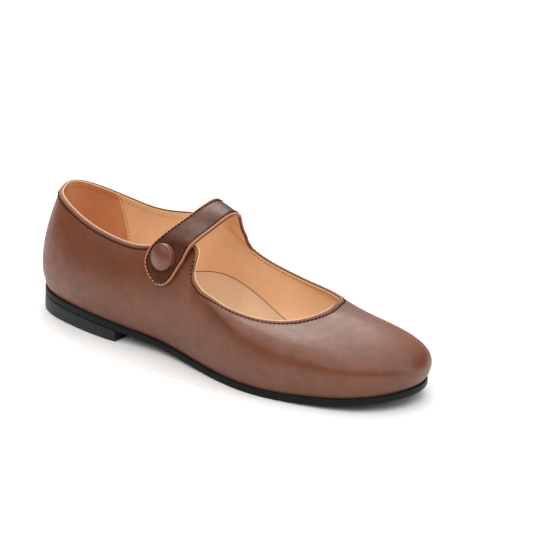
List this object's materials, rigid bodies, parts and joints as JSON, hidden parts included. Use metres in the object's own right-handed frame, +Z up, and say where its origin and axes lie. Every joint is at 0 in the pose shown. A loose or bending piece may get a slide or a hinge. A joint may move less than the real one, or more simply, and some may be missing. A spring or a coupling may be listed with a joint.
{
  "type": "mary jane shoe",
  "caption": "Right-foot mary jane shoe: round-toed leather upper with a buttoned instep strap, tan footbed, thin black sole and low heel.",
  "frame": {"origin": "the middle of the shoe's plan, on the floor it stands on", "axes": "+Z up, +X towards the toe, +Y towards the inner side of the foot"},
  "size_m": [0.241, 0.0834, 0.0758],
  "materials": {
    "sole_rubber": "satin",
    "heel_rubber": "satin",
    "tan_leather": "smooth satin",
    "brown_leather": "smooth satin",
    "strap_leather": "smooth satin",
    "button_leather": "smooth satin"
  },
  "bodies": {
    "root": {"outsole": "sole_rubber", "heel_block": "heel_rubber", "insole": "tan_leather", "upper": "brown_leather", "strap": "strap_leather", "button": "button_leather"}
  },
  "joints": []
}
